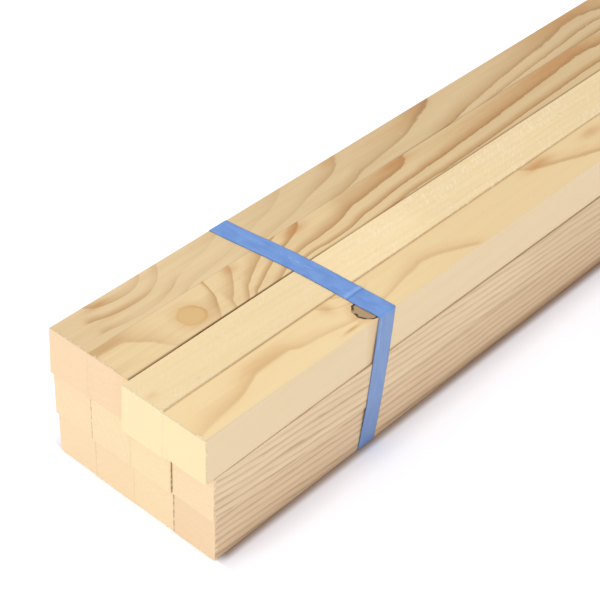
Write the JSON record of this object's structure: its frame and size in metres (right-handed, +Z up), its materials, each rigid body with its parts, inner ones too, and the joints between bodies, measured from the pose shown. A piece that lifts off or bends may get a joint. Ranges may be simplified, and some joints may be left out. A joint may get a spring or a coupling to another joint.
{
  "type": "bundle of pine studs",
  "caption": "Long bundle of planed square pine studs in layers, with staggered sawn ends, held by a leaning blue plastic strap near each end.",
  "frame": {"origin": "on the floor, under the middle of the bundle", "axes": "+X along the studs, away from the end whose strap leans most; +Y towards the side with the welded lap of the straps; +Z up"},
  "size_m": [2.41, 0.1562, 0.116],
  "materials": {
    "pine": "planed, unfinished",
    "blue_strap": "semi-gloss, finely embossed"
  },
  "bodies": {
    "root": {"stud_bottom_1": "pine", "stud_bottom_2": "pine", "stud_bottom_3": "pine", "stud_bottom_4": "pine", "stud_middle_1": "pine", "stud_middle_2": "pine", "stud_middle_3": "pine", "stud_middle_4": "pine", "stud_top_1": "pine", "stud_top_2": "pine", "stud_top_3": "pine", "stud_top_4": "pine", "strap_near_end": "blue_strap", "strap_far_end": "blue_strap"}
  },
  "joints": []
}
